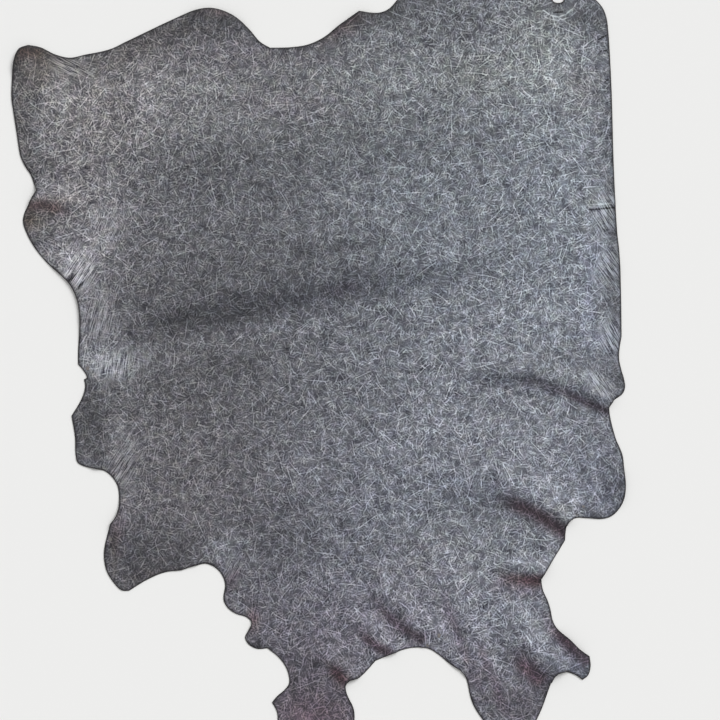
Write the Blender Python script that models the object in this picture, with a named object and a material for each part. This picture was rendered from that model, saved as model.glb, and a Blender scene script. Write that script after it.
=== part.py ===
# One side of a tanned cow hide, lying grain side up on a flat surface.
#
# The leather is a single cut sheet. Its outline runs clockwise from the bay behind the long
# shank: up round that shank, along the neck edge, down the back cut, round the rump and the
# two hind shanks, and back up the scalloped belly. Stretching has left it uneven, so soft
# rolls stand up from the surface and the margins curl up a little. The rest lies flat on it.

import math

import bmesh
import bpy
import numpy as np
from mathutils import Vector
from mathutils.geometry import delaunay_2d_cdt

MM = 0.001

# driving dimensions
LEATHER_THICKNESS = 1.8 * MM
SIDE_WIDTH = 1.228          # greatest width, from the belly to the back cut

# how finely the sheet is faceted, in millimetres
EDGE_FACET = 15.0           # longest straight piece of the cut edge
ROLL_ROW_SPACING = 27.0     # between points along a roll
FLAT_SPACING = 52.0         # between points where the sheet lies flat
CLOSEST_POINTS = 11.0       # no two points of the sheet are nearer than this
EDGE_MARGIN = 9.0           # inner points keep this far from the cut edge
MERGE_DISTANCE = 0.0001     # corners nearer than this are one
CUT_ANGLE = math.radians(50.0)      # edges sharper than this are cut ones

GRAIN_COLOUR = (0.160, 0.168, 0.188, 1.0)
GRAIN_ROUGHNESS = 0.62

# The cut edge in millimetres, x towards the back and y towards the neck, from a point near
# the middle of a side 1228 mm wide. Each stretch is one smooth curve. It starts where the
# stretch before it ends, with a corner or a nick between them.
CUT_EDGE = {
    "long shank, belly side": [
        (-567, 340), (-572, 353), (-579, 371), (-590, 388), (-599, 408), (-606, 450),
        (-614, 502), (-617, 524), (-616, 562), (-612, 598), (-602, 622), (-583, 630),
    ],
    "neck edge, first swell": [
        (-583, 630), (-560, 626), (-528, 611), (-500, 605), (-470, 611), (-420, 622),
        (-384, 639), (-280, 688), (-248, 700), (-220, 704), (-192, 698), (-166, 684),
        (-140, 660), (-120, 637), (-100, 625),
    ],
    "neck edge, second swell": [
        (-100, 625), (-60, 626), (-26, 631), (4, 644), (40, 671), (78, 698),
    ],
    "neck edge, crown": [
        (78, 698), (100, 695), (122, 696), (139, 704), (168, 736), (192, 750),
        (232, 760), (290, 763), (370, 757), (462, 745),
    ],
    "toggle slot": [
        (462, 745), (464, 728), (466, 718), (472, 715), (480, 715), (486, 718),
        (488, 728), (490, 743),
    ],
    "back cut": [
        (490, 743), (514, 740), (535, 732), (553, 719), (566, 703), (573, 684),
        (577, 650), (583, 540), (587, 400), (591, 310), (594, 260), (599, 210),
        (602, 130), (603, 48),
    ],
    "back cut, rump end": [
        (603, 48), (599, 24), (598, 4), (602, -17), (608, -38), (610, -54),
        (605, -67), (588, -80), (578, -94),
    ],
    "rump flap": [
        (578, -94), (580, -112), (586, -138), (592, -158), (605, -190), (608, -216),
        (611, -252), (608, -276), (598, -297), (584, -311), (566, -317), (536, -316),
        (514, -315), (501, -320), (494, -330), (491, -345), (490, -360),
    ],
    "rump slant": [(490, -360), (467, -398), (442, -438)],
    "thigh flap, upper side": [
        (442, -438), (446, -460), (455, -480), (461, -499), (465, -519), (474, -536),
        (500, -558), (519, -577), (539, -592),
    ],
    "thigh flap, end": [(539, -592), (541, -612), (536, -630), (525, -639)],
    "hind shank": [
        (525, -639), (508, -628), (486, -623), (472, -629), (463, -644), (442, -700),
        (417, -748), (398, -769), (379, -776), (361, -768), (344, -744), (310, -696),
        (301, -674), (295, -646), (290, -632), (281, -621),
    ],
    "arch between the shanks": [
        (281, -621), (258, -606), (236, -588), (217, -577), (184, -575), (154, -583),
        (111, -601),
    ],
    "arch, belly side": [(111, -601), (96, -618), (79, -634), (60, -640)],
    "small shank": [
        (60, -640), (52, -649), (53, -665), (67, -696), (69, -711), (66, -748),
        (57, -777), (34, -793), (-4, -797), (-40, -805), (-66, -799), (-79, -776),
        (-84, -742), (-86, -704), (-96, -684),
    ],
    "small shank, belly side": [
        (-96, -684), (-86, -672), (-71, -659), (-62, -646), (-63, -629), (-70, -611),
        (-84, -593), (-105, -576),
    ],
    "belly scallops": [
        (-105, -576), (-126, -577), (-143, -568), (-150, -554), (-142, -538),
        (-137, -525), (-147, -514), (-168, -507), (-184, -496), (-193, -479),
        (-190, -448), (-196, -430), (-208, -416), (-228, -407), (-250, -411),
        (-278, -420),
    ],
    "lower belly flap, under side": [(-278, -420), (-310, -424), (-344, -438), (-382, -461)],
    "lower belly flap, end": [
        (-382, -461), (-397, -460), (-414, -443), (-427, -421), (-432, -396),
        (-431, -374), (-420, -328),
    ],
    "belly bay": [
        (-420, -328), (-410, -315), (-403, -296), (-402, -272), (-405, -252),
        (-414, -236), (-430, -222), (-450, -217), (-472, -212), (-485, -204),
        (-489, -186), (-490, -154), (-497, -111),
    ],
    "upper belly flap": [(-497, -111), (-481, -85), (-472, -65), (-470, -50), (-472, -38)],
    "flank nick": [(-472, -38), (-466, -35), (-473, -21), (-484, -8)],
    "flank": [
        (-484, -8), (-484, 16), (-481, 66), (-482, 98), (-486, 120), (-496, 144),
        (-508, 160), (-548, 197), (-570, 224), (-586, 252), (-594, 276), (-591, 295),
        (-567, 340),
    ],
}

# The rolls that stretching has left, in millimetres. Each runs from start through via to
# end. left and right say how far its slopes reach on either hand of that way, and fade_in
# and fade_out give the share of its run over which it rises and dies away.
ROLL_COLUMNS = ("start", "via", "end", "height", "left", "right", "fade_in", "fade_out")
ROLLS = [
    # across the middle of the side
    ((-420, 98), (-190, 150), (70, 178), 14, 170, 74, 0.30, 0.35),
    ((-80, 170), (170, 190), (510, 236), 9, 95, 48, 0.25, 0.50),
    ((-464, -26), (-330, -14), (-80, 18), 7, 52, 48, 0.05, 0.40),
    # over the shoulder and along the neck edge
    ((-430, 424), (-220, 430), (-10, 416), 8, 130, 98, 0.35, 0.40),
    ((-364, 610), (-364, 520), (-356, 420), 5, 42, 62, 0.25, 0.40),
    ((-290, 672), (-210, 696), (-130, 646), 7, 20, 64, 0.30, 0.25),
    ((14, 652), (60, 688), (116, 694), 6, 20, 46, 0.25, 0.30),
    ((456, 610), (492, 360), (508, 90), 6, 84, 150, 0.25, 0.30),
    # the long shank and the flank
    ((-616, 556), (-608, 612), (-556, 622), 6, 20, 54, 0.35, 0.30),
    ((-562, 600), (-540, 490), (-520, 360), 7, 62, 56, 0.20, 0.25),
    ((-584, 322), (-536, 323), (-462, 306), 9, 34, 31, 0.00, 0.45),
    ((-532, 226), (-482, 140), (-468, 10), 8, 62, 50, 0.25, 0.30),
    # from the back edge and the rump into the side
    ((296, -36), (420, -22), (584, -86), 8, 42, 25, 0.30, 0.00),
    ((300, -258), (400, -266), (500, -324), 11, 62, 33, 0.35, 0.00),
    ((336, -424), (396, -411), (450, -430), 9, 38, 30, 0.40, 0.00),
    ((598, -206), (611, -256), (592, -304), 5, 20, 38, 0.30, 0.25),
    # fanning up from the hind shank and the arch
    ((90, -454), (156, -490), (224, -560), 9, 42, 31, 0.30, 0.00),
    ((40, -506), (96, -536), (150, -588), 7, 30, 28, 0.30, 0.00),
    ((200, -318), (236, -392), (284, -492), 5, 44, 38, 0.30, 0.30),
    ((258, -462), (308, -548), (350, -690), 6, 36, 34, 0.25, 0.25),
    ((350, -514), (416, -562), (480, -632), 12, 52, 46, 0.30, 0.00),
    ((470, -532), (504, -562), (538, -594), 7, 20, 30, 0.25, 0.30),
    ((-20, -572), (24, -604), (66, -646), 9, 36, 36, 0.35, 0.00),
    # the belly flaps
    ((-430, -44), (-430, -130), (-416, -216), 8, 58, 54, 0.25, 0.05),
    ((-420, -352), (-330, -350), (-210, -372), 9, 84, 76, 0.05, 0.30),
]

# Corners of the area that bears on the surface, in millimetres. Outside it the margins of the
# side stand a little higher the further out they are, as they curl up in drying.
BEARING_CORNERS = [
    (-455, 560), (-562, 268), (-388, -438), (-20, -740),
    (385, -735), (572, -150), (538, 650), (230, 705),
]
MARGIN_RISE = 2.4           # what the curl would come to very far out
MARGIN_REACH = 300.0        # how far out it has come to half of that

ROLL_SAMPLES = 25                           # points that stand for one roll's run
ROLL_ROWS = (-0.95, -0.5, 0.0, 0.5, 0.95)   # rows of points, in shares of each slope
INSIDE_THE_RIM = 1                          # the triangulation keeps nothing outside the rim


def remove_everything():
    for old in list(bpy.data.objects):
        bpy.data.objects.remove(old, do_unlink=True)


def smooth_stretch(points):
    """Points of a centripetal Catmull-Rom curve through one stretch, without its last."""
    given = [Vector(p) for p in points]
    before_first = given[0] * 2 - given[1]
    after_last = given[-1] * 2 - given[-2]
    knots = [before_first, *given, after_last]
    curve = []
    for a, b, c, d in zip(knots, knots[1:], knots[2:], knots[3:]):
        t1 = math.sqrt((b - a).length)
        t2 = t1 + math.sqrt((c - b).length)
        t3 = t2 + math.sqrt((d - c).length)
        pieces = max(1, math.ceil((c - b).length / EDGE_FACET))
        for piece in range(pieces):
            t = t1 + (t2 - t1) * piece / pieces
            ab = a.lerp(b, t / t1)
            bc = b.lerp(c, (t - t1) / (t2 - t1))
            cd = c.lerp(d, (t - t2) / (t3 - t2))
            abc = ab.lerp(bc, t / t2)
            bcd = bc.lerp(cd, (t - t1) / (t3 - t1))
            curve.append(tuple(abc.lerp(bcd, (t - t1) / (t2 - t1))))
    return curve


def cut_edge_loop():
    """The whole cut edge as one closed loop of points."""
    loop = []
    for stretch in CUT_EDGE.values():
        loop.extend(smooth_stretch(stretch))
    return np.array(loop)


def roll_run(roll):
    """Points along a roll: the parabola that passes through via halfway."""
    start, via, end = (np.array(roll[key], float) for key in ("start", "via", "end"))
    bend = 2.0 * via - 0.5 * (start + end)
    t = np.linspace(0.0, 1.0, ROLL_SAMPLES)[:, None]
    return (1 - t) ** 2 * start + 2 * t * (1 - t) * bend + t ** 2 * end


def smooth_step(share):
    share = np.clip(share, 0.0, 1.0)
    return share * share * (3.0 - 2.0 * share)


def roll_height(roll, points):
    """Height of one roll over each point: a rounded ridge that fades at its ends."""
    run = roll_run(roll)
    legs = run[1:] - run[:-1]
    leg_length2 = (legs ** 2).sum(axis=1)
    reach = points[:, None, :] - run[None, :-1, :]
    along = np.clip((reach * legs).sum(axis=2) / leg_length2, 0.0, 1.0)
    offset = reach - along[..., None] * legs
    distance = np.sqrt((offset ** 2).sum(axis=2))
    nearest = distance.argmin(axis=1)
    every = np.arange(len(points))
    distance = distance[every, nearest]
    share = (nearest + along[every, nearest]) / len(legs)
    leg = legs[nearest]
    arm = reach[every, nearest]
    on_left = leg[:, 0] * arm[:, 1] - leg[:, 1] * arm[:, 0] > 0.0
    slope = distance / np.where(on_left, roll["left"], roll["right"])
    ridge = np.clip(1.0 - slope ** 2, 0.0, None) ** 2
    if roll["fade_in"]:
        ridge = ridge * smooth_step(share / roll["fade_in"])
    if roll["fade_out"]:
        ridge = ridge * smooth_step((1.0 - share) / roll["fade_out"])
    return roll["height"] * ridge


def inside(loop, points):
    """Whether each point lies inside the cut edge, by counting edge crossings."""
    x, y = points[:, 0:1], points[:, 1:2]
    ax, ay = loop[:, 0], loop[:, 1]
    bx, by = np.roll(ax, -1), np.roll(ay, -1)
    spans = (ay > y) != (by > y)
    rise = np.where(by == ay, 1.0, by - ay)
    crossing_x = ax + (y - ay) / rise * (bx - ax)
    return (spans & (x < crossing_x)).sum(axis=1) % 2 == 1


def distance_to_edge(loop, points):
    legs = np.roll(loop, -1, axis=0) - loop
    reach = points[:, None, :] - loop[None, :, :]
    along = np.clip((reach * legs).sum(axis=2) / (legs ** 2).sum(axis=1), 0.0, 1.0)
    offset = reach - along[..., None] * legs
    return np.sqrt((offset ** 2).sum(axis=2)).min(axis=1)


def margin_height(points):
    """How far the curl of the margins raises each point outside the bearing area."""
    corners = np.array(BEARING_CORNERS, float)
    beyond = np.where(inside(corners, points), 0.0, distance_to_edge(corners, points))
    return MARGIN_RISE * beyond / (beyond + MARGIN_REACH)


def lift(rolls, points):
    """How far the sheet stands off the surface at each point, in millimetres."""
    return sum(roll_height(roll, points) for roll in rolls) + margin_height(points)


def roll_points(roll):
    """Rows of points along a roll's crest and its two slopes."""
    run = roll_run(roll)
    length = np.sqrt(((run[1:] - run[:-1]) ** 2).sum(axis=1)).sum()
    count = max(3, round(length / ROLL_ROW_SPACING))
    picks = np.linspace(0, ROLL_SAMPLES - 1, count)
    at = np.stack([np.interp(picks, np.arange(ROLL_SAMPLES), run[:, k]) for k in (0, 1)], axis=1)
    heading = np.gradient(at, axis=0)
    heading /= np.sqrt((heading ** 2).sum(axis=1))[:, None]
    to_left = np.stack([-heading[:, 1], heading[:, 0]], axis=1)
    rows = []
    for row in sorted(ROLL_ROWS, key=abs):
        width = roll["left"] if row > 0 else roll["right"]
        rows.append(at + to_left * row * width)
    return np.concatenate(rows)


def flat_points(loop):
    """A triangular lattice over the whole side."""
    low, high = loop.min(axis=0), loop.max(axis=0)
    row_gap = FLAT_SPACING * math.sqrt(0.75)
    rows = []
    for number, y in enumerate(np.arange(low[1], high[1], row_gap)):
        x = np.arange(low[0] + (number % 2) * FLAT_SPACING / 2, high[0], FLAT_SPACING)
        rows.append(np.stack([x, np.full_like(x, y)], axis=1))
    return np.concatenate(rows)


def sheet_points(loop, rolls):
    """Inner points of the sheet: the bearing corners, the rolls' rows, then the lattice."""
    rows = [roll_points(roll) for roll in rolls]
    offered = np.concatenate([BEARING_CORNERS, *rows, flat_points(loop)])
    offered = offered[inside(loop, offered)]
    offered = offered[distance_to_edge(loop, offered) > EDGE_MARGIN]
    kept = np.empty((0, 2))
    for point in offered:
        if len(kept) == 0 or ((kept - point) ** 2).sum(axis=1).min() > CLOSEST_POINTS ** 2:
            kept = np.vstack([kept, point])
    return kept


def flesh_surface(loop, rolls):
    """The flesh side as triangles: corner positions in millimetres, and the faces."""
    inner = sheet_points(loop, rolls)
    flat = [Vector(p) for p in np.concatenate([loop, inner])]
    rim = [(i, (i + 1) % len(loop)) for i in range(len(loop))]
    corners, _, faces, *_ = delaunay_2d_cdt(flat, rim, [], INSIDE_THE_RIM, MERGE_DISTANCE)
    flat = np.array([tuple(corner) for corner in corners])
    return np.column_stack([flat, lift(rolls, flat)]), faces


def leather_material():
    material = bpy.data.materials.new("grey distressed leather")
    material.use_nodes = True
    shader = material.node_tree.nodes["Principled BSDF"]
    shader.inputs["Base Color"].default_value = GRAIN_COLOUR
    shader.inputs["Roughness"].default_value = GRAIN_ROUGHNESS
    shader.inputs["Metallic"].default_value = 0.0
    material.diffuse_color = GRAIN_COLOUR
    return material


def make_hide():
    rolls = [dict(zip(ROLL_COLUMNS, row)) for row in ROLLS]
    loop = cut_edge_loop()
    corners, faces = flesh_surface(loop, rolls)
    low, high = loop.min(axis=0), loop.max(axis=0)
    across = SIDE_WIDTH / (high[0] - low[0])
    corners[:, :2] = (corners[:, :2] - (low + high) / 2) * across
    corners[:, 2] *= MM

    shape = bmesh.new()
    verts = [shape.verts.new(corner) for corner in corners]
    for face in faces:
        shape.faces.new([verts[i] for i in face])
    bmesh.ops.triangulate(shape, faces=shape.faces[:])
    # The grain side is the flesh side raised by one thickness, with the cut edge between them.
    raised = bmesh.ops.extrude_face_region(shape, geom=shape.faces[:], use_keep_orig=True)
    grain_side = [part for part in raised["geom"] if isinstance(part, bmesh.types.BMVert)]
    bmesh.ops.translate(shape, verts=grain_side, vec=(0.0, 0.0, LEATHER_THICKNESS))
    bmesh.ops.recalc_face_normals(shape, faces=shape.faces[:])
    mesh = bpy.data.meshes.new("hide")
    shape.to_mesh(mesh)
    shape.free()
    mesh.materials.append(leather_material())
    mesh.shade_smooth()
    mesh.set_sharp_from_angle(angle=CUT_ANGLE)

    hide = bpy.data.objects.new("hide", mesh)
    bpy.context.scene.collection.objects.link(hide)
    return hide


remove_everything()
make_hide()
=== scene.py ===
import math

import bpy
import numpy as np
from mathutils.geometry import delaunay_2d_cdt
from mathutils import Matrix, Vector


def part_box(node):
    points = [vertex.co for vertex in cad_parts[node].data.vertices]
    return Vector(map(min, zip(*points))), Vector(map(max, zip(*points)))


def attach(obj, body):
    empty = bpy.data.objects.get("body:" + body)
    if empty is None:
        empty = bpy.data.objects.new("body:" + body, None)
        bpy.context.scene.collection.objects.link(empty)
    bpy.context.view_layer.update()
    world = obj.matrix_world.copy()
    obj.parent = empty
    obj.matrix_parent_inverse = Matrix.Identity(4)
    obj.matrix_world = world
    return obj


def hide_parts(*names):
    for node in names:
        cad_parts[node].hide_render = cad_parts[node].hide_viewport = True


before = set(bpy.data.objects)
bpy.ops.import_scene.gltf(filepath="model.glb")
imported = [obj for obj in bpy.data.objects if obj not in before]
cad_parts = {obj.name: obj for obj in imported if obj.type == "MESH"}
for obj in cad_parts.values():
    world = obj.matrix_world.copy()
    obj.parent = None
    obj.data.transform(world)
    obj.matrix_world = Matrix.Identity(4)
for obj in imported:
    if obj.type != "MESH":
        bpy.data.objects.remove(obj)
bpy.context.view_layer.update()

# A side of distressed grey cow leather, lying grain side up. The sheet is one closed mesh:
# the printed grain side, the cut edge round it and the suede flesh side underneath.

mm = 0.001


def fromHex(code):
    # sRGB hex to linear RGBA: a straight line up to 0.04045, a power curve above it
    srgb = np.array([int(code[i:i + 2], 16) for i in (1, 3, 5)]) / 255
    linear = np.where(srgb <= 0.04045, srgb / 12.92, ((srgb + 0.055) / 1.055) ** 2.4)
    return (*linear.tolist(), 1.0)


def addNode(tree, kind, inputs=None, out=0, **settings):
    # one node with its settings; an input is a value or another node's output
    made = tree.nodes.new("ShaderNode" + kind)
    for name, value in settings.items():
        setattr(made, name, value)
    for socket, value in (inputs or {}).items():
        if isinstance(value, bpy.types.NodeSocket):
            tree.links.new(value, made.inputs[socket])
        else:
            made.inputs[socket].default_value = value
    return made.outputs[out]


# The sheet's own sizes, in millimetres, x towards the back and y towards the neck.
sheet = {
    "thickness": 1.8,
    "thinned": 0.5,            # how much of it a crease may press away
    "edgeStep": 3.6,           # between points along the cut edge
    "grainStep": 5.8,          # between points of the grain side
    "fleshStep": 11.0,         # between points of the flesh side
    "marginRise": 2.4,         # how high the margins would curl very far out
    "marginReach": 300.0,      # how far out they reach half of that
    "bearing": [               # the corners of the area that bears on the surface
        (-455, 560), (-562, 268), (-388, -438), (-20, -740),
        (385, -735), (572, -150), (538, 650), (230, 705),
    ],
    # rows down the cut edge: how far in from the outline, and the share of the thickness
    "edgeRows": [(0.9, 1.0), (0.35, 0.93), (0.0, 0.72), (0.0, 0.28), (0.3, 0.06), (0.9, 0.0)],
    "grainRows": (2.6, 5.6),   # the first two rows of grain points in from the outline
    "clearOfEdge": 8.0,        # the even spread of points starts this far in
    "rowStep": 2,              # those rows take every second point of the outline
    "rowKeeps": 0.9,           # and keep those with this share of their inset clear of it
    "roughly": (8, 25.0),      # a first measure to every so many points may be this far off
    "mergeWithin": 0.05,       # points this close would count as one
}

# The cut edge, clockwise. Each stretch is one smooth curve, with a corner or a nick after it.
cutEdge = {
    "long shank, belly side": [
        (-567, 340), (-572, 353), (-579, 371), (-590, 388), (-599, 408), (-606, 450),
        (-614, 502), (-617, 524), (-616, 562), (-612, 598), (-602, 622), (-583, 630),
    ],
    "neck edge, first swell": [
        (-583, 630), (-560, 626), (-528, 611), (-500, 605), (-470, 611), (-420, 622),
        (-384, 639), (-280, 688), (-248, 700), (-220, 704), (-192, 698), (-166, 684),
        (-140, 660), (-120, 637), (-100, 625),
    ],
    "neck edge, second swell": [
        (-100, 625), (-60, 626), (-26, 631), (4, 644), (40, 671), (78, 698),
    ],
    "neck edge, crown": [
        (78, 698), (100, 695), (122, 696), (139, 704), (168, 736), (192, 750),
        (232, 760), (290, 763), (370, 757), (462, 745),
    ],
    "toggle slot": [
        (462, 745), (464, 728), (466, 718), (472, 715), (480, 715), (486, 718),
        (488, 728), (490, 743),
    ],
    "back cut": [
        (490, 743), (514, 740), (535, 732), (553, 719), (566, 703), (573, 684),
        (577, 650), (583, 540), (587, 400), (591, 310), (594, 260), (599, 210),
        (602, 130), (603, 48),
    ],
    "back cut, rump end": [
        (603, 48), (599, 24), (598, 4), (602, -17), (608, -38), (610, -54),
        (605, -67), (588, -80), (578, -94),
    ],
    "rump flap": [
        (578, -94), (580, -112), (586, -138), (592, -158), (605, -190), (608, -216),
        (611, -252), (608, -276), (598, -297), (584, -311), (566, -317), (536, -316),
        (514, -315), (501, -320), (494, -330), (491, -345), (490, -360),
    ],
    "rump slant": [(490, -360), (467, -398), (442, -438)],
    "thigh flap, upper side": [
        (442, -438), (446, -460), (455, -480), (461, -499), (465, -519), (474, -536),
        (500, -558), (519, -577), (539, -592),
    ],
    "thigh flap, end": [(539, -592), (541, -612), (536, -630), (525, -639)],
    "hind shank": [
        (525, -639), (508, -628), (486, -623), (472, -629), (463, -644), (442, -700),
        (417, -748), (398, -769), (379, -776), (361, -768), (344, -744), (310, -696),
        (301, -674), (295, -646), (290, -632), (281, -621),
    ],
    "arch between the shanks": [
        (281, -621), (258, -606), (236, -588), (217, -577), (184, -575), (154, -583),
        (111, -601),
    ],
    "arch, belly side": [(111, -601), (96, -618), (79, -634), (60, -640)],
    "small shank": [
        (60, -640), (52, -649), (53, -665), (67, -696), (69, -711), (66, -748),
        (57, -777), (34, -793), (-4, -797), (-40, -805), (-66, -799), (-79, -776),
        (-84, -742), (-86, -704), (-96, -684),
    ],
    "small shank, belly side": [
        (-96, -684), (-86, -672), (-71, -659), (-62, -646), (-63, -629), (-70, -611),
        (-84, -593), (-105, -576),
    ],
    "belly scallops": [
        (-105, -576), (-126, -577), (-143, -568), (-150, -554), (-142, -538),
        (-137, -525), (-147, -514), (-168, -507), (-184, -496), (-193, -479),
        (-190, -448), (-196, -430), (-208, -416), (-228, -407), (-250, -411),
        (-278, -420),
    ],
    "lower belly flap, under side": [(-278, -420), (-310, -424), (-344, -438), (-382, -461)],
    "lower belly flap, end": [
        (-382, -461), (-397, -460), (-414, -443), (-427, -421), (-432, -396),
        (-431, -374), (-420, -328),
    ],
    "belly bay": [
        (-420, -328), (-410, -315), (-403, -296), (-402, -272), (-405, -252),
        (-414, -236), (-430, -222), (-450, -217), (-472, -212), (-485, -204),
        (-489, -186), (-490, -154), (-497, -111),
    ],
    "upper belly flap": [(-497, -111), (-481, -85), (-472, -65), (-470, -50), (-472, -38)],
    "flank nick": [(-472, -38), (-466, -35), (-473, -21), (-484, -8)],
    "flank": [
        (-484, -8), (-484, 16), (-481, 66), (-482, 98), (-486, 120), (-496, 144),
        (-508, 160), (-548, 197), (-570, 224), (-586, 252), (-594, 276), (-591, 295),
        (-567, 340),
    ],
}

# Soft folds from stretching: a ridge from start through via to end. left and right say how
# far its slopes reach on either hand, fadeIn and fadeOut the share of its run it grows over.
foldColumns = ("start", "via", "end", "height", "left", "right", "fadeIn", "fadeOut")
folds = [
    # across the middle of the side
    ((-420, 98), (-190, 150), (70, 178), 14, 170, 74, 0.30, 0.35),
    ((-80, 170), (170, 190), (510, 236), 9, 95, 48, 0.25, 0.50),
    ((-464, -26), (-330, -14), (-80, 18), 7, 52, 48, 0.05, 0.40),
    # over the shoulder and along the neck edge
    ((-430, 424), (-220, 430), (-10, 416), 8, 130, 98, 0.35, 0.40),
    ((-364, 610), (-364, 520), (-356, 420), 5, 42, 62, 0.25, 0.40),
    ((-290, 672), (-210, 696), (-130, 646), 7, 20, 64, 0.30, 0.25),
    ((14, 652), (60, 688), (116, 694), 6, 20, 46, 0.25, 0.30),
    ((456, 610), (492, 360), (508, 90), 6, 84, 150, 0.25, 0.30),
    # the long shank and the flank
    ((-616, 556), (-608, 612), (-556, 622), 6, 20, 54, 0.35, 0.30),
    ((-562, 600), (-540, 490), (-520, 360), 7, 62, 56, 0.20, 0.25),
    ((-584, 322), (-536, 323), (-462, 306), 9, 34, 31, 0.00, 0.45),
    ((-532, 226), (-482, 140), (-468, 10), 4, 62, 50, 0.25, 0.30),
    # from the back edge and the rump into the side
    ((296, -36), (420, -22), (584, -86), 8, 42, 25, 0.30, 0.00),
    ((300, -258), (400, -266), (500, -324), 11, 62, 33, 0.35, 0.00),
    ((336, -424), (396, -411), (450, -430), 9, 38, 30, 0.40, 0.00),
    ((598, -206), (611, -256), (592, -304), 5, 20, 38, 0.30, 0.25),
    # fanning up from the hind shank and the arch
    ((90, -454), (156, -490), (224, -560), 9, 42, 31, 0.30, 0.00),
    ((40, -506), (96, -536), (150, -588), 7, 30, 28, 0.30, 0.00),
    ((200, -318), (236, -392), (284, -492), 5, 44, 38, 0.30, 0.30),
    ((258, -462), (308, -548), (350, -690), 6, 36, 34, 0.25, 0.25),
    ((350, -514), (416, -562), (480, -632), 12, 52, 46, 0.30, 0.00),
    ((470, -532), (504, -562), (538, -594), 7, 20, 30, 0.25, 0.30),
    ((-20, -572), (24, -604), (66, -646), 9, 36, 36, 0.35, 0.00),
    # the belly flaps
    ((-430, -44), (-430, -130), (-416, -216), 8, 58, 54, 0.25, 0.05),
    ((-420, -352), (-330, -350), (-210, -372), 9, 84, 76, 0.05, 0.30),
]

# Finer creases that only the surface shows, in the same columns; a trough has a minus height.
creases = [
    # the sharp crease and the puckers along the back cut
    ((516, 316), (560, 314), (606, 317), 1.6, 13, 6, 0.45, 0.00),
    ((516, 302), (560, 300), (606, 305), -0.9, 5, 7, 0.45, 0.00),
    ((560, 252), (584, 248), (606, 244), -1.6, 12, 12, 0.45, 0.00),
    ((548, 112), (580, 108), (606, 104), -1.8, 18, 14, 0.45, 0.00),
    ((552, 168), (580, 178), (604, 182), 1.6, 30, 30, 0.45, 0.00),
    # the long low ridge over the middle fold
    ((-100, 232), (50, 244), (210, 268), 4.0, 46, 26, 0.30, 0.35),
    # where the sheet is drawn in at its notches
    ((-584, 318), (-530, 308), (-480, 296), -2.0, 10, 12, 0.00, 0.50),
    ((-466, -35), (-440, -30), (-410, -22), 2.0, 9, 14, 0.00, 0.55),
    ((290, -640), (250, -560), (220, -470), 2.4, 16, 18, 0.05, 0.50),
    ((62, -650), (30, -622), (-10, -606), -2.2, 14, 10, 0.00, 0.50),
    ((490, -350), (440, -318), (380, -290), -2.0, 16, 10, 0.00, 0.50),
    ((-150, -540), (-110, -520), (-60, -510), 2.2, 14, 14, 0.05, 0.60),
    ((-262, -416), (-240, -360), (-226, -300), 2.6, 18, 18, 0.10, 0.60),
]


def smoothStretch(points, step):
    # Centripetal Catmull-Rom through the points: each leg is a blend of blends of the two
    # knots on either side, the knots timed by the square root of their distance.
    knots = np.array(points, float)
    knots = np.vstack([2 * knots[0] - knots[1], knots, 2 * knots[-1] - knots[-2]])
    gaps = np.linalg.norm(np.diff(knots, axis=0), axis=1)
    pieces = np.ceil(gaps[1:-1] / step).astype(int)
    leg = np.repeat(np.arange(len(pieces)), pieces)
    first = np.repeat(np.cumsum(pieces) - pieces, pieces)
    share = (np.arange(pieces.sum()) - first) / pieces[leg]
    t1, t2, t3 = np.cumsum(np.sqrt([gaps[leg], gaps[leg + 1], gaps[leg + 2]]), axis=0)
    t = t1 + (t2 - t1) * share
    a, b, c, d = (knots[leg + k] for k in range(4))

    def blend(u, v, w):
        return u + (v - u) * w[:, None]

    ab = blend(a, b, t / t1)
    bc = blend(b, c, (t - t1) / (t2 - t1))
    cd = blend(c, d, (t - t2) / (t3 - t2))
    early, late = blend(ab, bc, t / t2), blend(bc, cd, (t - t1) / (t3 - t1))
    return blend(early, late, (t - t1) / (t2 - t1))


def smoothStep(share):
    # 3s^2 - 2s^3 between 0 and 1
    share = np.clip(share, 0.0, 1.0)
    return share * share * (3.0 - 2.0 * share)


def foldRun(fold, samples=25):
    # the parabola that passes through via halfway
    start, via, end = (np.array(fold[key], float) for key in ("start", "via", "end"))
    bend = 2.0 * via - 0.5 * (start + end)
    t = np.linspace(0.0, 1.0, samples)[:, None]
    return (1 - t) ** 2 * start + 2 * t * (1 - t) * bend + t ** 2 * end


def foldShare(fold, points):
    # A rounded ridge: (1 - (distance / reach)^2)^2 across the run, times smooth fades at its ends.
    run = foldRun(fold)
    legs = np.diff(run, axis=0)
    margin = max(fold["left"], fold["right"])
    near = ((points > run.min(axis=0) - margin) & (points < run.max(axis=0) + margin)).all(axis=1)
    share = np.zeros(len(points))
    reach = points[near][:, None, :] - run[None, :-1, :]
    along = np.clip((reach * legs).sum(axis=2) / (legs ** 2).sum(axis=1), 0.0, 1.0)
    distance = np.linalg.norm(reach - along[..., None] * legs, axis=2)
    nearest = distance.argmin(axis=1)
    every = np.arange(len(nearest))
    leg, arm = legs[nearest], reach[every, nearest]
    onLeft = leg[:, 0] * arm[:, 1] - leg[:, 1] * arm[:, 0] > 0.0
    slope = distance[every, nearest] / np.where(onLeft, fold["left"], fold["right"])
    ridge = np.clip(1.0 - slope ** 2, 0.0, None) ** 2
    place = (nearest + along[every, nearest]) / len(legs)
    ridge *= smoothStep(place / max(fold["fadeIn"], 1e-6))           # no fade where it is 0
    ridge *= smoothStep((1.0 - place) / max(fold["fadeOut"], 1e-6))
    share[near] = ridge
    return share


def inBlocks(work, points, block=1500):
    # runs an all-against-all measure on blocks of points, to keep its arrays small
    return np.concatenate([work(points[i:i + block]) for i in range(0, len(points), block)])


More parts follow.
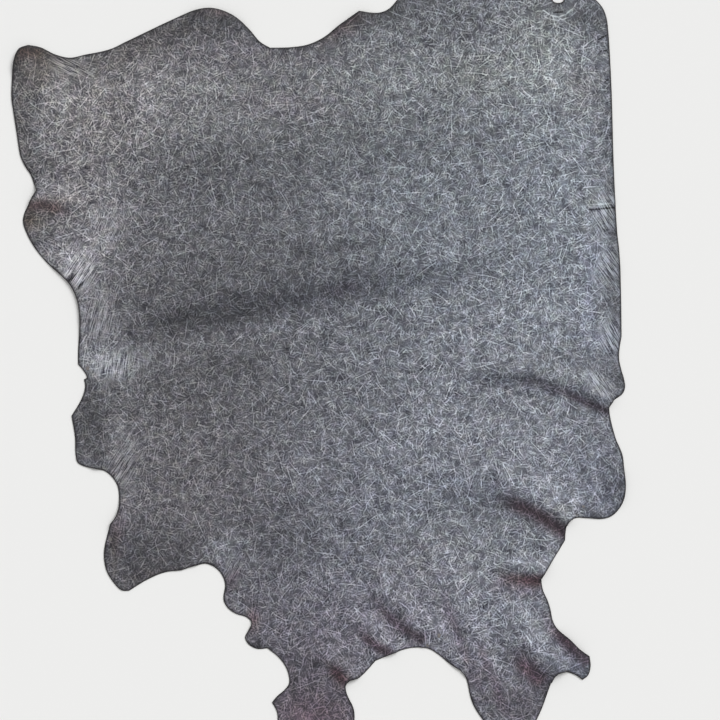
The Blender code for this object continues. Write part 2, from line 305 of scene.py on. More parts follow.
def insideOf(loop, points):
    # a point is inside if a line from it crosses the loop an odd number of times
    a, b = loop, np.roll(loop, -1, axis=0)
    rise = np.where(b[:, 1] == a[:, 1], 1.0, b[:, 1] - a[:, 1])

    def odd(p):
        x, y = p[:, 0:1], p[:, 1:2]
        spans = (a[:, 1] > y) != (b[:, 1] > y)
        crossing = a[:, 0] + (y - a[:, 1]) / rise * (b[:, 0] - a[:, 0])
        return (spans & (x < crossing)).sum(axis=1) % 2 == 1

    return inBlocks(odd, points)


def distanceTo(loop, points):
    # the shortest distance from each point to the loop's legs
    legs = np.roll(loop, -1, axis=0) - loop

    def shortest(p):
        reach = p[:, None, :] - loop[None, :, :]
        along = np.clip((reach * legs).sum(axis=2) / (legs ** 2).sum(axis=1), 0.0, 1.0)
        return np.linalg.norm(reach - along[..., None] * legs, axis=2).min(axis=1)

    return inBlocks(shortest, points)


def marginHeight(points):
    # nothing over the bearing area; outside it rise * d / (d + reach), d the distance from it
    corners = np.array(sheet["bearing"], float)
    beyond = np.where(insideOf(corners, points), 0.0, distanceTo(corners, points))
    return sheet["marginRise"] * beyond / (beyond + sheet["marginReach"])


def restingHeight(points):
    # how far the flesh side stands off the surface: the margins' curl and all the soft folds
    height = marginHeight(points)
    for row in folds:
        fold = dict(zip(foldColumns, row))
        height += fold["height"] * foldShare(fold, points)
    return height


def creaseHeight(points):
    # what the fine creases add on the grain side
    height = np.zeros(len(points))
    for row in creases:
        crease = dict(zip(foldColumns, row))
        height += crease["height"] * foldShare(crease, points)
    return height


def spread(loop, step):
    # a triangular lattice over the loop's box: rows step * sqrt(3/4) apart, every other one
    # moved along by half a step
    low, high = loop.min(axis=0), loop.max(axis=0)
    rows = np.arange(low[1], high[1], step * math.sqrt(0.75))
    across = np.arange(low[0], high[0], step)
    x = across[None, :] + np.where(np.arange(len(rows)) % 2, step / 2, 0.0)[:, None]
    return np.stack([x, np.broadcast_to(rows[:, None], x.shape)], axis=2).reshape(-1, 2)


def fill(ring, inner):
    # triangles over everything inside the ring, through the inner points, which are numbered
    # after the ring's own
    flat = np.concatenate([ring, inner])
    rim = np.stack([np.arange(len(ring)), np.roll(np.arange(len(ring)), -1)], axis=1)
    within = sheet["mergeWithin"]
    points, _, faces, *_ = delaunay_2d_cdt(flat.tolist(), rim.tolist(), [], 1, within)
    if len(points) != len(flat):
        print("points merged in fill:", len(flat) - len(points))
    return np.array(faces)


# Where the dye, the light finish and the handling have changed the colour, and where painted light and
# shade stand in for the lamp's sheen, the folds and the lifted edges, as soft ovals: x, y, half its
# length, half its width, its turn in degrees, the change in brightness and its tint, grey if none is
# named.
patchColumns = ("x", "y", "long", "wide", "turn", "tone", "tint")
tints = {
    "grey": (1.00, 1.00, 1.00),
    "warm": (1.05, 1.00, 0.96),
    "olive": (1.01, 1.01, 0.93),
    "brown": (1.10, 1.00, 0.90),
    "red": (1.24, 0.95, 0.93),
    "plum": (1.09, 0.97, 1.02),
    "violet": (1.06, 0.99, 1.04),
    "maroon": (1.24, 0.93, 1.00),
    "blue": (0.99, 1.00, 1.05),
    "cool": (0.96, 1.00, 1.00),
}
patches = [
    # the broad drift: darker to the belly, paler to the back, partly the finish's own tone and partly
    # painted light for the lamp's sheen towards the back
    (-340, -40, 620, 340, 90, -0.02, "warm"),
    (-140, 560, 480, 150, 0, 0.00, "olive"),
    (-500, 400, 260, 130, 90, 0.00, "warm"),
    (-100, -320, 330, 190, 0, 0.00, "blue"),
    (-60, 120, 330, 34, 10, 0.00, "blue"),
    (-360, 520, 100, 70, 0, 0.00, "blue"),
    (560, -220, 80, 70, 0, 0.00, "blue"),
    (340, -262, 120, 30, -10, 0.00, "blue"),
    (-420, -366, 50, 60, 0, 0.00, "blue"),
    (400, -456, 60, 20, 0, 0.00, "plum"),
    (580, -280, 50, 30, 0, 0.00, "blue"),
    (-160, 620, 190, 60, 0, 0.00, "violet"),
    (-70, 510, 120, 30, 0, 0.00, "violet"),
    (440, 640, 70, 120, 0, 0.00, "olive"),
    (60, -540, 320, 110, 0, 0.00, "violet"),
    (250, -396, 110, 70, 0, 0.00, "warm"),
    (488, -546, 40, 16, -42, -0.10, "maroon"),
    (310, -636, 24, 34, 0, -0.18, "plum"),
    (506, -592, 26, 12, -40, 0.16),
    (500, -610, 80, 60, 0, 0.00, "blue"),
    (220, 280, 270, 190, 90, 0.02, "cool"),
    (-210, 140, 270, 230, 0, -0.30),
    (-110, 245, 220, 130, 0, -0.15),
    (-310, 30, 110, 90, 0, -0.14),
    (60, 450, 150, 50, 0, -0.13),
    (-240, -290, 240, 200, 0, -0.28, "warm"),
    (480, 320, 340, 100, 90, 0.42, "cool"),
    (340, 80, 200, 110, 0, 0.24),
    (310, -150, 230, 120, 10, 0.28),
    (260, -60, 110, 60, 0, 0.18),
    (340, 560, 130, 50, 0, 0.20),
    (40, 190, 90, 30, 10, -0.14),
    (310, -420, 170, 110, -40, 0.26, "cool"),
    (160, 550, 180, 90, 0, 0.14),
    (120, 320, 120, 60, 10, 0.16),
    (340, 380, 90, 60, 20, 0.14),
    (290, 50, 90, 40, 0, 0.18),
    (460, -190, 100, 70, 0, 0.14),
    (-46, -202, 44, 26, 0, 0.26),
    (-70, -500, 100, 150, 0, -0.18),
    (-380, 520, 120, 90, 0, 0.16, "warm"),
    # the long shank and the neck edge
    (-603, 610, 40, 12, 62, -0.55, "brown"),
    (-510, 548, 60, 50, 0, 0.20),
    (-575, 620, 34, 12, -6, -0.40, "brown"),
    (-560, 592, 64, 44, 60, -0.36, "brown"),
    (-596, 470, 130, 15, 94, -0.34, "warm"),
    (-330, 645, 160, 38, 22, -0.40, "warm"),
    (-180, 676, 86, 30, 0, -0.38),
    (50, 676, 60, 22, 34, -0.40, "red"),
    (130, 690, 110, 26, 4, -0.30),
    (236, 736, 70, 26, 0, -0.26),
    (-200, 360, 170, 46, 4, -0.14),
    (-350, 520, 80, 15, 85, 0.16),
    (440, 604, 110, 80, 0, 0.32),
    (550, 690, 50, 26, -40, -0.24),
    (522, 676, 36, 28, 0, -0.24),
    (482, 702, 46, 20, 0, -0.12),
    (-525, 326, 44, 12, 0, 0.24, "warm"),
    (-572, 280, 38, 24, 20, -0.40, "brown"),
    (-588, 278, 20, 22, 0, -0.34, "brown"),
    (-548, 244, 34, 20, -50, -0.20),
    (-570, 380, 28, 28, 0, -0.22),
    (-586, 618, 30, 20, 0, -0.42, "red"),
    # the belly side
    (-430, 285, 40, 72, 0, 0.42),
    (-512, 196, 52, 16, -50, 0.28),
    (-476, 218, 42, 36, 0, 0.44),
    (-450, 90, 150, 34, 84, 0.10),
    (-410, -4, 62, 34, 0, 0.42, "cool"),
    (-420, -16, 46, 28, 0, 0.24),
    (-446, 12, 30, 30, 0, 0.20),
    (-480, 178, 50, 26, -60, 0.30),
    (-250, -72, 130, 50, 4, -0.08),
    (-462, -128, 84, 50, 84, -0.46),
    (-340, -396, 126, 84, -5, -0.36),
    (-414, -326, 30, 44, 0, -0.14, "plum"),
    (-190, 702, 50, 14, 0, -0.10, "red"),
    (-350, -436, 90, 28, 0, -0.20, "warm"),
    (-410, -370, 50, 14, 84, -0.16, "brown"),
    (-182, -374, 38, 34, 0, 0.62, "cool"),
    # the hind end
    (-178, -440, 26, 16, 60, -0.36, "plum"),
    (-128, -570, 26, 16, -30, -0.55),
    (-134, -520, 14, 26, 0, -0.30, "red"),
    (-30, -655, 110, 96, 0, -0.44, "plum"),
    (50, -702, 44, 40, 0, -0.30),
    (-10, -724, 100, 50, 0, -0.06, "maroon"),
    (40, -630, 24, 16, -50, -0.45, "red"),
    (390, -690, 80, 60, 0, -0.36, "plum"),
    (510, -610, 40, 24, -35, -0.20, "blue"),
    (440, -400, 40, 28, 0, 0.20),
    (410, -560, 60, 22, -35, 0.22),
    (46, -606, 26, 22, 0, -0.28),
    (450, -676, 24, 24, 0, -0.24),
    (-186, -484, 24, 20, 0, -0.26),
    (250, -410, 20, 34, 20, 0.24, "blue"),
    (482, -302, 34, 14, -20, 0.38, "olive"),
    (460, -364, 34, 28, 0, 0.14),
    # the smaller clouds across the side, painted light and shade beside the folds among them
    (340, -60, 60, 40, 0, -0.16),
    (0, 62, 60, 16, 10, 0.16),
    (-80, 60, 100, 20, 6, 0.12),
    (44, 142, 50, 18, 20, -0.20, "violet"),
    (240, 222, 56, 40, -40, 0.16),
    (180, 540, 40, 50, 0, 0.16),
    (270, 664, 80, 36, 0, -0.20),
    (360, 470, 36, 30, 0, 0.16),
    (310, 570, 80, 40, 0, -0.06, "olive"),
    (520, 540, 40, 50, 0, -0.16, "warm"),
    (420, 560, 60, 40, 0, -0.10),
    (320, 270, 120, 90, 0, 0.06),
    (-230, 634, 90, 24, 10, -0.16),
    (-240, 412, 100, 26, 4, -0.20),
    (-240, 540, 40, 26, 0, 0.14),
    (-210, 356, 44, 26, 0, 0.14),
    (-30, 400, 60, 40, 0, -0.10),
    (-200, -110, 130, 26, 4, -0.12),
    (-240, -130, 50, 30, 0, 0.10),
    (-230, -260, 50, 40, 0, 0.12),
    (-180, 270, 60, 40, 0, 0.08),
    (160, -60, 46, 30, 0, -0.16),
    (120, 0, 50, 34, 0, 0.12),
    (-400, -72, 90, 16, 0, -0.18),
    (80, -276, 40, 26, 0, 0.16),
    (300, -330, 70, 26, -20, 0.14),
    (400, -434, 40, 16, 0, -0.12),
    (420, -180, 40, 26, 0, 0.12),
    (-60, -352, 110, 50, 0, -0.16),
    (322, -308, 44, 26, -30, -0.16),
    (252, -292, 54, 40, -40, -0.22),
    (-150, -186, 60, 26, 0, -0.12),
    (160, -160, 50, 26, 0, 0.14),
    # along the back cut
    (590, 220, 300, 12, 91, -0.26),
    (606, -250, 50, 18, 84, -0.34),
    (600, -160, 50, 10, 74, -0.20),
    (536, 110, 80, 20, 90, 0.18, "blue"),
    (548, 212, 24, 26, 0, 0.24, "blue"),
    (550, 318, 28, 10, 5, 0.30, "olive"),
    (592, 252, 14, 12, 0, -0.50),
    (586, 108, 20, 14, 0, -0.30),
    (602, -44, 24, 14, 80, -0.40),
    (582, -28, 26, 26, 0, -0.24),
    (470, -22, 60, 18, -10, -0.18),
    (568, 36, 30, 30, 0, 0.16, "blue"),
    (546, -58, 26, 14, -50, 0.16),
    (480, -256, 60, 36, 0, 0.20),
    (328, -268, 54, 32, 0, -0.16),
    (460, 2, 110, 26, 0, -0.20),
]

# Painted shade on the folds' flanks that face away from the lamp, and painted light on one lit strip,
# as long dark or pale strokes that follow a fold: the run as in folds, its reach to either hand, the
# change in brightness, the tint.
paintedFoldShadingColumns = ("start", "via", "end", "left", "right", "fadeIn", "fadeOut", "tone", "tint")
paintedFoldShading = [
    # the broad soft folds across the middle, darkest on the side away from the lamp
    ((-400, 54), (-180, 98), (70, 138), 46, 46, 0.30, 0.40, -0.42),
    ((-120, 120), (120, 156), (480, 206), 36, 28, 0.30, 0.50, -0.28),
    ((0, 116), (90, 128), (230, 140), 20, 22, 0.30, 0.40, -0.34),
    ((-380, 2), (-180, 44), (80, 84), 24, 30, 0.40, 0.40, 0.09),
    ((-80, 220), (40, 226), (160, 256), 22, 20, 0.30, 0.30, -0.24),
    ((-270, -18), (-170, -6), (-70, 6), 28, 30, 0.30, 0.40, -0.24),
    # the sharper ones that run out to the back edge
    ((250, -40), (410, -42), (580, -104), 24, 26, 0.30, 0.00, -0.32, "blue"),
    ((376, -34), (470, -58), (580, -104), 15, 15, 0.30, 0.00, -0.44, "plum"),
    ((480, -64), (530, -86), (580, -104), 12, 11, 0.30, 0.00, -0.40, "plum"),
    ((336, -270), (414, -299), (494, -348), 31, 31, 0.28, 0.00, -0.56, "plum"),
    ((362, -278), (430, -307), (494, -348), 23, 23, 0.30, 0.00, -0.42, "maroon"),
    ((330, -426), (390, -438), (448, -442), 26, 26, 0.45, 0.00, -0.56, "red"),
    ((384, -436), (420, -440), (450, -440), 18, 16, 0.40, 0.00, -0.40, "maroon"),
    # round the arch and down the shanks
    ((96, -468), (146, -520), (212, -560), 21, 22, 0.35, 0.05, -0.44, "plum"),
    ((120, -498), (162, -534), (212, -560), 14, 14, 0.35, 0.05, -0.36, "plum"),
    ((70, -536), (106, -566), (146, -590), 17, 17, 0.35, 0.05, -0.54, "maroon"),
    ((372, -560), (420, -612), (472, -650), 36, 44, 0.30, 0.05, -0.46, "plum"),
    ((390, -590), (420, -624), (450, -650), 26, 26, 0.30, 0.20, -0.24, "maroon"),
    ((16, -606), (38, -630), (60, -652), 17, 17, 0.30, 0.05, -0.44, "maroon"),
    ((458, -520), (498, -570), (540, -604), 26, 24, 0.35, 0.00, -0.58, "maroon"),
    ((200, -320), (244, -400), (284, -492), 18, 18, 0.35, 0.30, -0.16),
    ((238, -440), (272, -540), (300, -620), 16, 16, 0.30, 0.20, -0.20, "plum"),
    ((300, -540), (340, -620), (372, -720), 16, 16, 0.30, 0.20, -0.22, "plum"),
    ((-592, 304), (-546, 308), (-488, 286), 20, 20, 0.00, 0.35, -0.50, "red"),
]

# Darker along the cut within these soft ovals: how much darker it gets right at the edge. It fades
# over rimReach.
rimColumns = ("x", "y", "long", "wide", "turn", "depth")
rimReach = 22.0
rims = [
    (-560, 610, 120, 70, 0, 0.20),
    (-300, 690, 200, 60, 22, 0.22),
    (-215, 700, 60, 30, 0, 0.30),
    (-50, 630, 110, 50, 0, 0.40),
    (110, 700, 110, 80, 30, 0.62),
    (240, 760, 80, 50, 0, 0.40),
    (566, 690, 60, 60, 0, 0.22),
    (476, -560, 110, 50, -45, 0.26),
    (410, -740, 120, 80, 60, 0.26),
    (-610, 500, 120, 40, 90, 0.20),
]

# Where the sheet is looser and the print stands out more, as soft ovals; less with a minus.
looseColumns = ("x", "y", "long", "wide", "turn", "more")
loose = [
    (-480, 380, 330, 220, 90, 0.24),
    (60, -560, 420, 180, 0, 0.16),
    (300, 680, 420, 90, 0, 0.10),
    (482, 698, 46, 20, 0, -0.55),
    (440, -180, 170, 140, 0, -0.05),
]

# Where the grain was pulled into fine parallel lines: x, y, half length and half width of the
# oval, its turn, the way the lines run in degrees, and how strongly they show.
lineColumns = ("x", "y", "long", "wide", "turn", "run", "strength")
lines = [
    (576, 290, 60, 30, 90, -58, 0.9),
    (582, 196, 60, 28, 90, -54, 0.85),
    (586, 48, 46, 22, 90, -60, 0.9),
    (560, -46, 44, 15, -54, -54, 0.8),
    (-476, 172, 76, 36, 60, 57, 0.75),
    (-444, 78, 70, 44, 84, 76, 0.6),
    (-414, -10, 74, 40, 10, 82, 0.6),
    (-426, 250, 60, 36, 70, 66, 0.5),
    (-400, -220, 60, 30, 60, 58, 0.7),
    (-176, -420, 30, 20, 60, 62, 0.6),
    (-508, 590, 50, 17, -22, -26, 0.95),
]

# Single marks that stand out in the print, and the painted shade and painted highlight of one crease:
# where they lie, half length, half width, turn in degrees, and strength, negative for a dark one.
markColumns = ("x", "y", "long", "wide", "turn", "strength")
marks = [
    # the sharp crease on the back cut: painted shade in it and a painted highlight on the crest over
    # it
    (574, 304, 32, 2.6, 5, -0.8), (546, 300, 24, 4.5, 3, -0.35), (562, 312, 34, 2.6, 4, 0.6),
    # crescents pressed round the toggle slot, and nicks on the back cut
    (453, 695, 11, 1.9, -35, 1.4), (468, 688, 10, 1.9, -14, 1.4), (484, 689, 10, 1.9, 18, 1.4),
    (499, 698, 11, 1.9, 40, 1.4), (510, 710, 9, 1.8, 58, 1.2), (451, 686, 10, 1.5, -30, 0.8),
    (470, 680, 10, 1.5, -6, 0.9), (490, 683, 11, 1.5, 20, 0.9), (508, 693, 10, 1.5, 38, 0.8),
    (523, 707, 11, 1.5, 50, 0.8), (479, 696, 16, 2.0, 4, -0.7), (565, 646, 14, 1.8, 30, -0.75),
    (566, 619, 13, 1.8, 12, -0.7), (574, 560, 9, 1.8, 40, -0.6),
    # pulled pale lines on the flank
    (-506, 175, 13, 1.6, 56, 1.2), (-501, 172, 14, 1.4, 57, 0.8), (-487, 164, 19, 1.6, 58, 1.1),
    (-481, 161, 18, 1.4, 58, 0.9), (-493, 168, 16, 3.2, 57, -0.7), (-473, 40, 18, 1.5, 57, 1.0),
    (-478, 150, 12, 3.0, 58, -0.5), (-400, -210, 24, 1.5, 58, 0.8), (-408, -236, 22, 1.4, 50, 0.7),
    # beside the arch and on the shanks
    (210, -552, 24, 1.8, 94, 1.0), (218, -562, 16, 1.5, 84, 0.7), (230, -548, 24, 1.4, 80, 0.5),
    (48, -632, 13, 2.2, -45, 1.0), (51, -637, 4, 4.0, 0, 0.9), (513, -609, 20, 1.6, 22, 0.9),
    (417, -557, 20, 1.8, -55, 1.0), (402, -565, 26, 1.4, 10, 0.6), (277, -595, 26, 1.4, 33, 0.6),
    (349, -519, 16, 1.4, 18, 0.8), (414, -502, 15, 1.4, -50, 0.8), (-134, -562, 5, 3.5, 20, 1.2),
    (-84, -648, 4, 3.0, 0, 0.9), (504, -280, 8, 2.4, 60, 0.9), (509, -284, 7, 2.0, -40, 0.7),
    # across the rump
    (327, -212, 14, 1.4, 9, 0.8), (402, -187, 15, 1.4, -58, 0.8), (524, -160, 14, 1.4, -45, 0.8),
    (407, -245, 16, 1.3, -62, 0.6), (554, -272, 15, 1.4, -50, 0.7), (475, 6, 17, 1.4, 22, 0.7),
    # across the middle
    (66, 12, 19, 1.5, -60, 0.9), (84, -8, 11, 1.4, -22, 0.8), (0, -19, 15, 1.4, 18, 0.8),
    (75, -68, 23, 1.4, -68, 0.8), (163, -117, 18, 1.4, 22, 0.8), (123, -107, 17, 1.3, -10, 0.7),
    (2, -126, 22, 1.3, -68, 0.6), (18, -83, 12, 1.6, 16, 0.9), (115, -38, 13, 1.3, -66, 0.7),
    (-422, 370, 11, 1.3, -38, 0.8), (-32, -110, 10, 1.3, 38, 0.7),
]


def oval(patch, points):
    # exp(-(u^2 + v^2)), u and v the turned coordinates over the oval's half sizes
    turn = math.radians(patch["turn"])
    x, y = points[:, 0] - patch["x"], points[:, 1] - patch["y"]
    u = (x * math.cos(turn) + y * math.sin(turn)) / patch["long"]
    v = (y * math.cos(turn) - x * math.sin(turn)) / patch["wide"]
    return np.exp(-(u * u + v * v))


def dyeAndShadingColour(points, room):
    # The dye's tones together with painted light and shade. Every patch and shade multiplies the
    # colour by 1 + weight * (its tint and tone - 1), every rim by 1 - weight * depth * exp(-room /
    # reach). The alpha says how bold the print is.
    colour = np.ones((len(points), 4))
    for row in rims:
        rim = dict(zip(rimColumns, row))
        colour[:, :3] *= 1.0 - (rim["depth"] * oval(rim, points) * np.exp(-room / rimReach))[:, None]
    for row in loose:
        part = dict(zip(looseColumns, row))
        colour[:, 3] += part["more"] * oval(part, points)
    for columns, rows, weight in ((patchColumns, patches, oval), (paintedFoldShadingColumns, paintedFoldShading, foldShare)):
        for row in rows:
            patch = dict(zip(columns, row))
            aim = np.array(tints[patch.get("tint", "grey")]) * (1.0 + patch["tone"])
            colour[:, :3] *= 1.0 + weight(patch, points)[:, None] * (aim - 1.0)
    return colour


def pulledLines(points):
    # Each oval has coordinates of its own, across and along its lines. At each point the
    # strongest oval counts, as far as it is stronger than the next.
    first, second = np.zeros(len(points)), np.zeros(len(points))
    across, along = np.zeros(len(points)), np.zeros(len(points))
    for row in lines:
        patch = dict(zip(lineColumns, row))
        weight = patch["strength"] * oval(patch, points)
        run = math.radians(patch["run"])
        x, y = points[:, 0] - patch["x"], points[:, 1] - patch["y"]
        best = weight > first
        across = np.where(best, y * math.cos(run) - x * math.sin(run), across)
        along = np.where(best, x * math.cos(run) + y * math.sin(run), along)
        second = np.where(best, first, np.maximum(second, weight))
        first = np.maximum(first, weight)
    return np.stack([across, along, first - second], axis=1)


def makeHide(hideLow, hideHigh):
    # Every point is (x, y, height under it + its share of the thickness) in the tables'
    # millimetres: the rows down the cut edge first, then the grain side, then the flesh side.
    loop = np.concatenate([smoothStretch(points, sheet["edgeStep"]) for points in cutEdge.values()])

    # the heading at a point lies midway between the legs before and after it
    ahead, behind = np.roll(loop, -1, axis=0), np.roll(loop, 1, axis=0)
    heading = (ahead - loop) / np.linalg.norm(ahead - loop, axis=1)[:, None]
    heading += (loop - behind) / np.linalg.norm(loop - behind, axis=1)[:, None]
    heading /= np.linalg.norm(heading, axis=1)[:, None]
    inward = np.stack([heading[:, 1], -heading[:, 0]], axis=1)     # the edge runs clockwise
    print("cut edge:", len(loop), "points")

    # the rows down the cut edge: the outline moved in, at a share of the thickness
    base = np.maximum(restingHeight(loop) + creaseHeight(loop), 0.0)
    rows = [np.column_stack([loop + inward * inset, base + share * sheet["thickness"]])
            for inset, share in sheet["edgeRows"]]
    insets = [np.full(len(loop), inset) for inset, _ in sheet["edgeRows"]]

    def innerPoints(step, edgeRows):
        # an even spread clear of the edge, then rows that follow the outline, less the points
        # that a bend of the outline brings too near it
        even = spread(loop, step)
        even = even[insideOf(loop, even)]
        every, off = sheet["roughly"]
        room = distanceTo(loop[::every], even)
        close = room < sheet["clearOfEdge"] + off
        room[close] = distanceTo(loop, even[close])
        clear = room > sheet["clearOfEdge"]
        sets, rooms = [even[clear]], [room[clear]]
        for inset in edgeRows:
            row = (loop + inward * inset)[::sheet["rowStep"]]
            gap = distanceTo(loop, row)
            keep = gap > sheet["rowKeeps"] * inset
            sets.append(row[keep])
            rooms.append(gap[keep])
        return np.concatenate(sets), np.concatenate(rooms)

    top, topRoom = innerPoints(sheet["grainStep"], sheet["grainRows"])
    under, underRoom = innerPoints(sheet["fleshStep"], ())
    topFaces = fill(rows[0][:, :2], top)
    underFaces = fill(rows[-1][:, :2], under)
    print("grain side:", len(topFaces), "faces; flesh side:", len(underFaces), "faces")

    # the ring of either side is a row of the edge already
    ring = len(loop)
    topHeight = np.maximum(restingHeight(top) + creaseHeight(top), -sheet["thinned"])
    topHeight += sheet["thickness"]
    underHeight = np.maximum(restingHeight(under) + creaseHeight(under), 0.0)
    edgeCount = ring * len(rows)
    top, under = np.column_stack([top, topHeight]), np.column_stack([under, underHeight])
    corners = np.concatenate([*rows, top, under])
    room = np.concatenate([*insets, topRoom, underRoom])
    topIndex = np.concatenate([np.arange(ring), edgeCount + np.arange(len(top))])
    underIndex = np.concatenate([edgeCount - ring + np.arange(ring),
                                 edgeCount + len(top) + np.arange(len(under))])

    # quads between one row and the next, facing out
    here = np.arange(ring)
    after = np.roll(here, -1)
    band = np.stack([here, after, after + ring, here + ring], axis=1)
    quads = [band + k * ring for k in range(len(rows) - 1)]
    faces = [topIndex[topFaces], np.concatenate(quads), underIndex[underFaces][:, ::-1]]

    # metres, with the middle of the outline at the origin and the CAD sheet's own width
    low, high = loop.min(axis=0), loop.max(axis=0)
    middle = (low + high) / 2
    scale = (hideHigh[0] - hideLow[0]) / (high[0] - low[0])
    place = np.column_stack([(corners[:, :2] - middle) * scale, corners[:, 2] * mm])

    mesh = bpy.data.meshes.new("leatherHide")
    mesh.from_pydata(place.tolist(), [], [f for group in faces for f in group.tolist()])
    mesh.polygons.foreach_set("material_index", np.repeat([0, 1, 2], [len(group) for group in faces]))
    mesh.shade_smooth()
    for material in (printedGrain(middle), cutLeather(), suedeFlesh()):
        mesh.materials.append(material)
    flat = corners[:, :2]
    # the dye's tones and the painted light and shade of the folds and the lamp's sheen
    dyeAndPaintedShading = mesh.attributes.new("dyeAndPaintedShading", "FLOAT_COLOR", "POINT")
    dyeAndPaintedShading.data.foreach_set("color", dyeAndShadingColour(flat, room).ravel())
    pulled = mesh.attributes.new("pulled", "FLOAT_VECTOR", "POINT")
    pulled.data.foreach_set("vector", pulledLines(flat).ravel())
    toEdge = mesh.attributes.new("toEdge", "FLOAT", "POINT")
    toEdge.data.foreach_set("value", room)
    mesh.update()
    mesh.validate()
    hide = bpy.data.objects.new("leatherHide", mesh)
    bpy.context.scene.collection.objects.link(hide)
    return hide


# Distressed print: a light pigment rubbed over a darker grey ground. It leaves a dense web of
# short, slightly bent pale strokes that lie every way, with dark specks of ground between.
grain = {
    "ground": "#52545c",       # blue-grey ground coat
    "stroke": "#a9adb6",       # pale rubbed pigment
    "edgeDye": "#17161a",      # dye soaked into the cut margin
    "roughness": 0.56,         # waxed, between matte and satin
    "specular": 0.42,
    # each layer of strokes: spacing, half length, half width, gap between twins (90 for none),
    # strength and turn, in mm and degrees
    "layers": [
        (10, 5.8, 1.05, 4.8, 0.31, 0),
        (13, 7.5, 1.05, 5.4, 0.31, 17),
        (8, 4.6, 1.05, 90, 0.32, 47),
        (9, 5.2, 1.05, 90, 0.32, 71),
        (11, 6.4, 1.05, 90, 0.32, 95),
        (14, 8.2, 1.00, 90, 0.34, 113),
        (18, 10.6, 0.95, 90, 0.38, 137),
        (23, 13.5, 0.88, 90, 0.44, 161),
        (30, 17, 0.80, 90, 0.50, 11),
        (46, 23, 0.75, 90, 0.52, 29),
        (74, 28, 0.75, 90, 0.64, 53),
    ],
    "apart": (7.3, 3.1),       # a layer starts this many cells on from the last one
    "bend": 0.018,             # how much a stroke bends at most, per millimetre
    "bendUpTo": 12.0,          # past this spacing it bends less, as much over its whole length
    "weights": (-0.35, 1.7),   # the darkest and the boldest stroke, as shares of the strength
    "taper": 0.7,              # a stroke starts to fade this far along its half length
    "halo": 0.14,              # the ground is darker this much beside a stroke
    "haloReach": 6.0,          # as far out as this many half widths
    # wandering lines: size in mm, half width and strength, and the value of their own noise's
    # green at which they start to show and show in full
    "veins": (24.0, 0.011, 0.42),
    "veinsShow": (0.45, 0.62),
    # strokes gather in clumps: size in mm, how much, how pale, and the noise's values at the
    # barest and the fullest spots
    "clump": (15.0, 0.24, 0.06),
    "clumpSpan": (0.25, 0.75),
    # clouds in the ground coat: size in mm and how much, and the noise's values at the darkest
    # and the palest spots
    "clouds": (28.0, 0.09),
    "cloudSpan": (0.3, 0.7),
    # stretch lines: their noise in steps per mm across and along, where it turns from the
    # level between them to the level on them, and those levels
    "pulled": (0.48, 0.03),
    "pulledSpan": (0.42, 0.62),
    "pulledLevel": (-0.25, 1.22),
    "markLevel": 1.4,          # of a single mark at strength 1
    "levelSpan": (-0.3, 1.3),  # the level is kept between these: 0 is the ground, 1 the pigment
    # the colour wanders: size in mm, then how much and from where, in red, green and blue
    "drift": (18.0, (0.15, 0.14, 0.23), (0.925, 0.93, 0.885)),
    # the dye soaks in from the cut: full to here and none past there, in mm, then its share
    # where it is full, and how much the line wavers
    "soak": (1.0, 5.0, 0.97, 0.28),
    "grainSize": 5.0,          # the fine grain is drawn coarser than life, in mm
    "depth": 0.10,             # of the fine grain, in mm
}


def strokeLayer(tree, place, layer, number):
    # One stroke, or a few side by side, to a Voronoi cell: the cell's random colour turns,
    # bends and weights them. A smooth ramp across gives a soft width, and it is twice the half
    # width long, because it is at half its height midway. A second ramp tapers the ends.
    spacing, halfLong, halfWide, gap, strength, turn = layer
    darkest, boldest = grain["weights"]
    apartX, apartY = grain["apart"]
    cell = addNode(tree, "Mapping", {
        "Vector": place, "Location": (apartX * number, apartY * number, 0.0),
        "Rotation": (0.0, 0.0, math.radians(turn)), "Scale": (1 / spacing,) * 3})
    cells = addNode(tree, "TexVoronoi", {"Vector": cell, "Scale": 1.0}, voronoi_dimensions="2D").node
    chance = addNode(tree, "SeparateColor", {0: cells.outputs["Color"]}).node
    arm = addNode(tree, "VectorMath", {0: cell, 1: cells.outputs["Position"]}, operation="SUBTRACT")
    angle = addNode(tree, "Math", {0: chance.outputs[0], 1: 2 * math.pi}, operation="MULTIPLY")
    turned = addNode(tree, "VectorRotate", {"Vector": arm, "Angle": angle}, rotation_type="Z_AXIS")
    ends = addNode(tree, "SeparateXYZ", {0: turned}).node
    square = addNode(tree, "Math", {0: ends.outputs[0], 1: ends.outputs[0]}, operation="MULTIPLY")
    bend = grain["bend"] * min(spacing, grain["bendUpTo"])
    curl = {0: chance.outputs[1], 1: 2 * bend, 2: -bend}
    curl = addNode(tree, "Math", curl, operation="MULTIPLY_ADD")
    bent = addNode(tree, "Math", {0: square, 1: curl, 2: ends.outputs[1]}, operation="MULTIPLY_ADD")
    across = addNode(tree, "Math", {0: bent, 1: 0.5 * gap / spacing}, operation="PINGPONG")
    width = addNode(tree, "MapRange", {
        "Value": across, "From Min": 0.0, "From Max": 2 * halfWide / spacing,
        "To Min": 1.0, "To Max": 0.0}, interpolation_type="SMOOTHSTEP")
    halo = addNode(tree, "MapRange", {
        "Value": across, "From Min": 0.0, "From Max": grain["haloReach"] * halfWide / spacing,
        "To Min": grain["halo"], "To Max": 0.0}, interpolation_type="SMOOTHSTEP")
    width = addNode(tree, "Math", {0: width, 1: halo}, operation="SUBTRACT")
    taper = addNode(tree, "MapRange", {
        "Value": cells.outputs["Distance"], "From Min": grain["taper"] * halfLong / spacing,
        "From Max": halfLong / spacing, "To Min": 1.0, "To Max": 0.0})
    weight = addNode(tree, "MapRange", {
        "Value": chance.outputs[2], "To Min": darkest * strength, "To Max": boldest * strength})
    stroke = addNode(tree, "Math", {0: width, 1: taper}, operation="MULTIPLY")
    return addNode(tree, "Math", {0: stroke, 1: weight}, operation="MULTIPLY")


